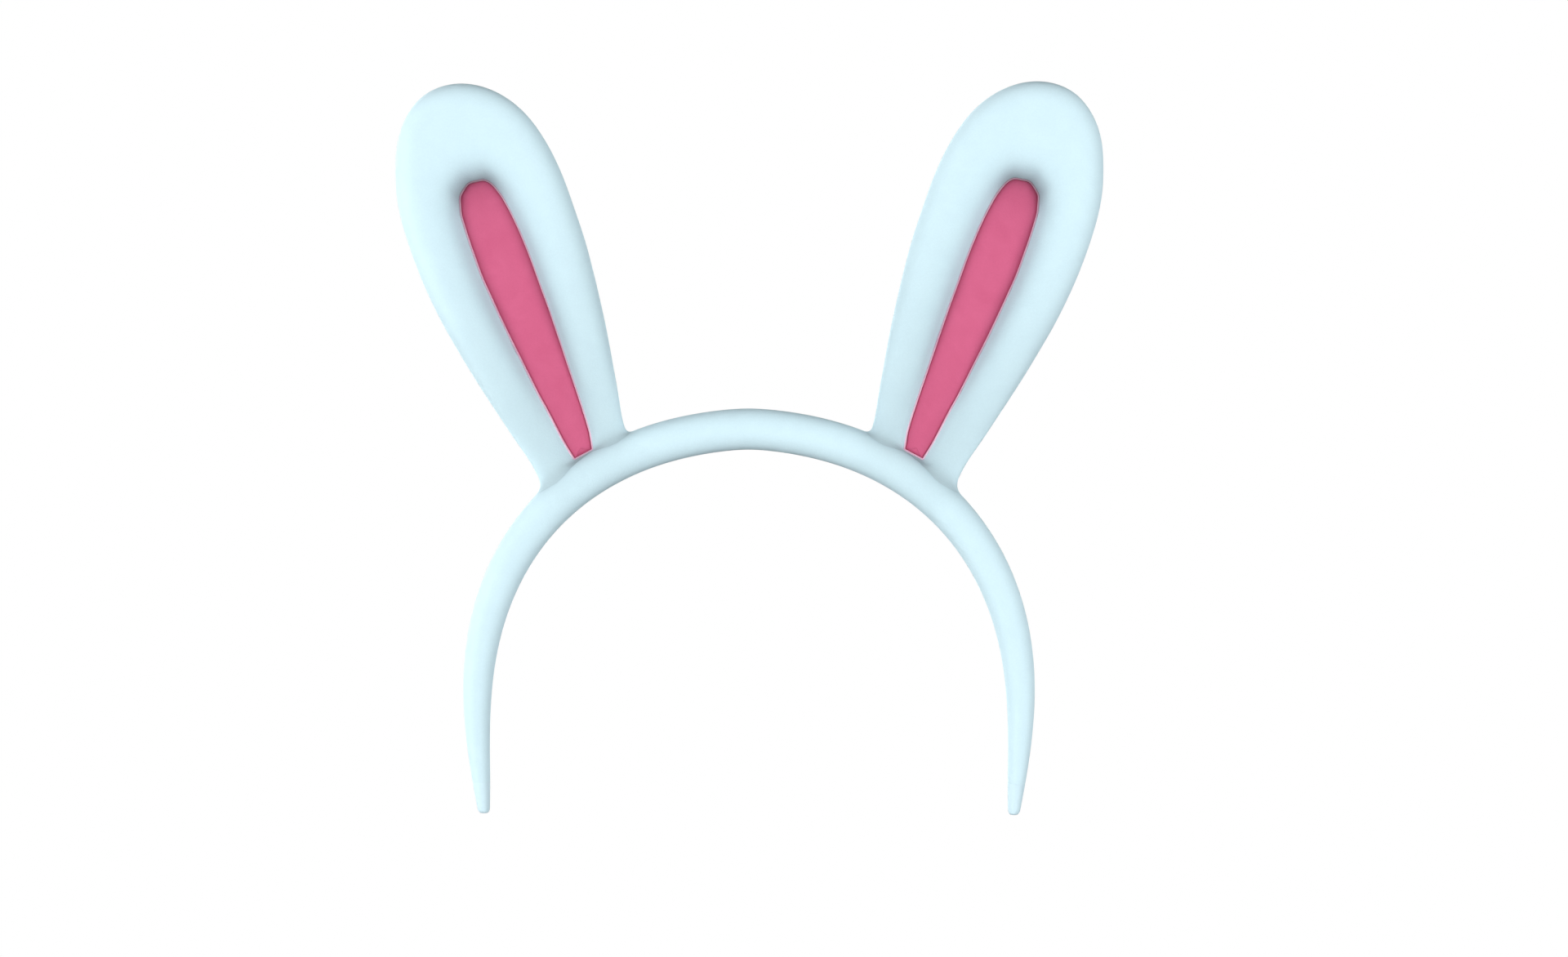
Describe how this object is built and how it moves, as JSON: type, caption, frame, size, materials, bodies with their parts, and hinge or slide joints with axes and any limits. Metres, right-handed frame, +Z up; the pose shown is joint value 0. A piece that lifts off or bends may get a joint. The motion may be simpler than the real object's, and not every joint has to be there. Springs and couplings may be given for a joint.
{
  "type": "animal ears headband",
  "caption": "Slim padded rabbit-ears headband: a springy arch with tapered arms and upright, padded, posable ears with recessed pink inner panels.",
  "frame": {"origin": "middle of the crown's inner surface, where the band rests on the top of the head", "axes": "+Z up through the ears, +X to the right seen from the front, the ears' pink faces look along -Y"},
  "size_m": [0.1822, 0.0126, 0.1877],
  "materials": {
    "ice_velour": "very short, matte, pale ice-blue pile with a soft sheen",
    "pink_velour": "very short, matte rose-pink pile",
    "foam": "open-cell foam and fibre wadding, unpolished",
    "spring_strip": "translucent moulded spring strip",
    "clip_plastic": "moulded, matte",
    "tip_plastic": "soft-touch moulded cap in the cover's colour",
    "steel_wire": "bare drawn wire"
  },
  "bodies": {
    "crown": {"band_core": "spring_strip", "crown_padding": "foam", "left_band_sleeve": "ice_velour", "right_band_sleeve": "ice_velour", "left_wire_clip": "clip_plastic", "right_wire_clip": "clip_plastic"},
    "left_arm": {"left_arm_padding": "foam", "left_tip_cap": "tip_plastic"},
    "left_ear": {"left_ear_front_cover": "ice_velour", "left_ear_back_cover": "ice_velour", "left_ear_inner_panel": "pink_velour", "left_ear_wire": "steel_wire", "left_ear_padding_lower": "foam"},
    "left_ear_tip": {"left_ear_padding_upper": "foam"},
    "right_arm": {"right_arm_padding": "foam", "right_tip_cap": "tip_plastic"},
    "right_ear": {"right_ear_front_cover": "ice_velour", "right_ear_back_cover": "ice_velour", "right_ear_inner_panel": "pink_velour", "right_ear_wire": "steel_wire", "right_ear_padding_lower": "foam"},
    "right_ear_tip": {"right_ear_padding_upper": "foam"}
  },
  "joints": [
    {"name": "left_arm_flex", "type": "hinge", "parent": "crown", "child": "left_arm", "pos_m": [-0.0605, 0, -0.02756], "axis": [0, 1, 0], "range_deg": [-4, 12], "stiffness_Nm_per_rad": 0.8, "deforming": ["band_core", "left_band_sleeve"]},
    {"name": "left_ear_tilt", "type": "hinge", "parent": "crown", "child": "left_ear", "pos_m": [-0.03981, 0, -0.00611], "axis": [0.8463, 0, 0.5328], "range_deg": [-25, 35]},
    {"name": "left_ear_bend", "type": "hinge", "parent": "left_ear", "child": "left_ear_tip", "pos_m": [-0.05752, 0, 0.04138], "axis": [0.9443, 0, 0.3291], "range_deg": [-20, 70], "deforming": ["left_ear_front_cover", "left_ear_back_cover", "left_ear_inner_panel", "left_ear_wire"]},
    {"name": "right_arm_flex", "type": "hinge", "parent": "crown", "child": "right_arm", "pos_m": [0.0605, 0, -0.02756], "axis": [0, -1, 0], "range_deg": [-4, 12], "stiffness_Nm_per_rad": 0.8, "deforming": ["band_core", "right_band_sleeve"]},
    {"name": "right_ear_tilt", "type": "hinge", "parent": "crown", "child": "right_ear", "pos_m": [0.03981, 0, -0.00611], "axis": [0.8463, 0, -0.5328], "range_deg": [-25, 35]},
    {"name": "right_ear_bend", "type": "hinge", "parent": "right_ear", "child": "right_ear_tip", "pos_m": [0.05752, 0, 0.04138], "axis": [0.9443, 0, -0.3291], "range_deg": [-20, 70], "deforming": ["right_ear_front_cover", "right_ear_back_cover", "right_ear_inner_panel", "right_ear_wire"]}
  ]
}
